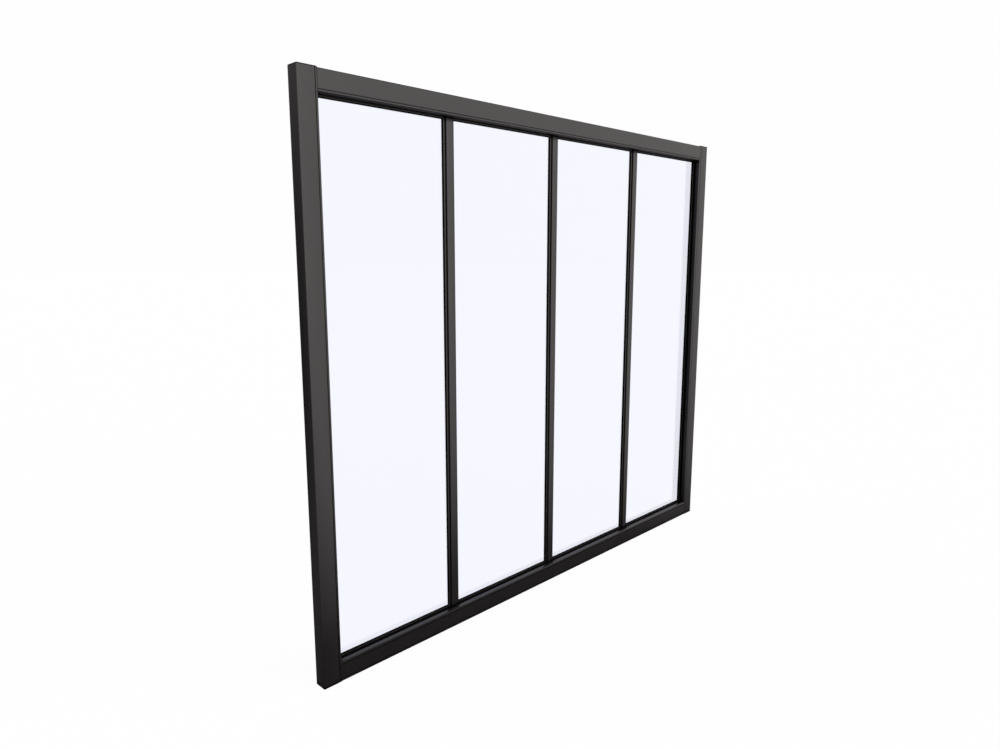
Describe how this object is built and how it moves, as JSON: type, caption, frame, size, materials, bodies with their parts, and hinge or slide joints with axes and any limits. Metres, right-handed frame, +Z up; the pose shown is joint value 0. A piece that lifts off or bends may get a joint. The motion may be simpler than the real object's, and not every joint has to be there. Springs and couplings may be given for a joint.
{
  "type": "interior glass partition",
  "caption": "Fixed interior glass partition: slim dark metal frame with tall clear panes side by side, divided by narrow mullions set back from the frame face.",
  "frame": {"origin": "middle of the bottom rail's underside, in the middle of the length and of the thickness", "axes": "+X along the partition to the right as seen from the front, +Y from the front to the back, +Z up"},
  "size_m": [1.25, 0.0274, 1.05],
  "materials": {
    "frame_coating": "dark grey-black powder coat, satin, on aluminium extrusion",
    "cap_plastic": "black moulded plastic, matt",
    "glass": "clear toughened float glass, polished",
    "gasket_rubber": "black extruded rubber, matt"
  },
  "bodies": {
    "root": {"left_stile": "frame_coating", "right_stile": "frame_coating", "bottom_rail": "frame_coating", "top_rail": "frame_coating", "mullion_1": "frame_coating", "mullion_2": "frame_coating", "mullion_3": "frame_coating", "left_stile_cap": "cap_plastic", "right_stile_cap": "cap_plastic", "pane_1": "glass", "pane_1_bead_bottom": "frame_coating", "pane_1_gasket_bottom": "gasket_rubber", "pane_1_bead_top": "frame_coating", "pane_1_gasket_top": "gasket_rubber", "pane_1_bead_left": "frame_coating", "pane_1_gasket_left": "gasket_rubber", "pane_1_bead_right": "frame_coating", "pane_1_gasket_right": "gasket_rubber", "pane_2": "glass", "pane_2_bead_bottom": "frame_coating", "pane_2_gasket_bottom": "gasket_rubber", "pane_2_bead_top": "frame_coating", "pane_2_gasket_top": "gasket_rubber", "pane_2_bead_left": "frame_coating", "pane_2_gasket_left": "gasket_rubber", "pane_2_bead_right": "frame_coating", "pane_2_gasket_right": "gasket_rubber", "pane_3": "glass", "pane_3_bead_bottom": "frame_coating", "pane_3_gasket_bottom": "gasket_rubber", "pane_3_bead_top": "frame_coating", "pane_3_gasket_top": "gasket_rubber", "pane_3_bead_left": "frame_coating", "pane_3_gasket_left": "gasket_rubber", "pane_3_bead_right": "frame_coating", "pane_3_gasket_right": "gasket_rubber", "pane_4": "glass", "pane_4_bead_bottom": "frame_coating", "pane_4_gasket_bottom": "gasket_rubber", "pane_4_bead_top": "frame_coating", "pane_4_gasket_top": "gasket_rubber", "pane_4_bead_left": "frame_coating", "pane_4_gasket_left": "gasket_rubber", "pane_4_bead_right": "frame_coating", "pane_4_gasket_right": "gasket_rubber"}
  },
  "joints": []
}
